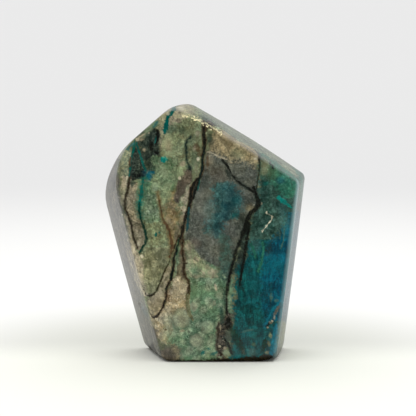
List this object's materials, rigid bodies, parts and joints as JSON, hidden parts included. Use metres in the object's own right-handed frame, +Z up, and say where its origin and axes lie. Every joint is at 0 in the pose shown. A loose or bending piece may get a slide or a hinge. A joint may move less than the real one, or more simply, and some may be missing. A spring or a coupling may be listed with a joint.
{
  "type": "polished shattuckite specimen",
  "caption": "Polished standing freeform of shattuckite in quartz: a five-sided upright stone with broad faces, narrow rim facets and a flat base to stand on.",
  "frame": {"origin": "under the middle of the stone's box, on the plane of the flat base", "axes": "+Z up, +X to the viewer's right when facing the front face, +Y from the front face to the back face"},
  "size_m": [0.073, 0.0284, 0.0909],
  "materials": {
    "stone": "polished, veined green, teal, blue and brown"
  },
  "bodies": {
    "root": {"shattuckite_freeform": "stone"}
  },
  "joints": []
}
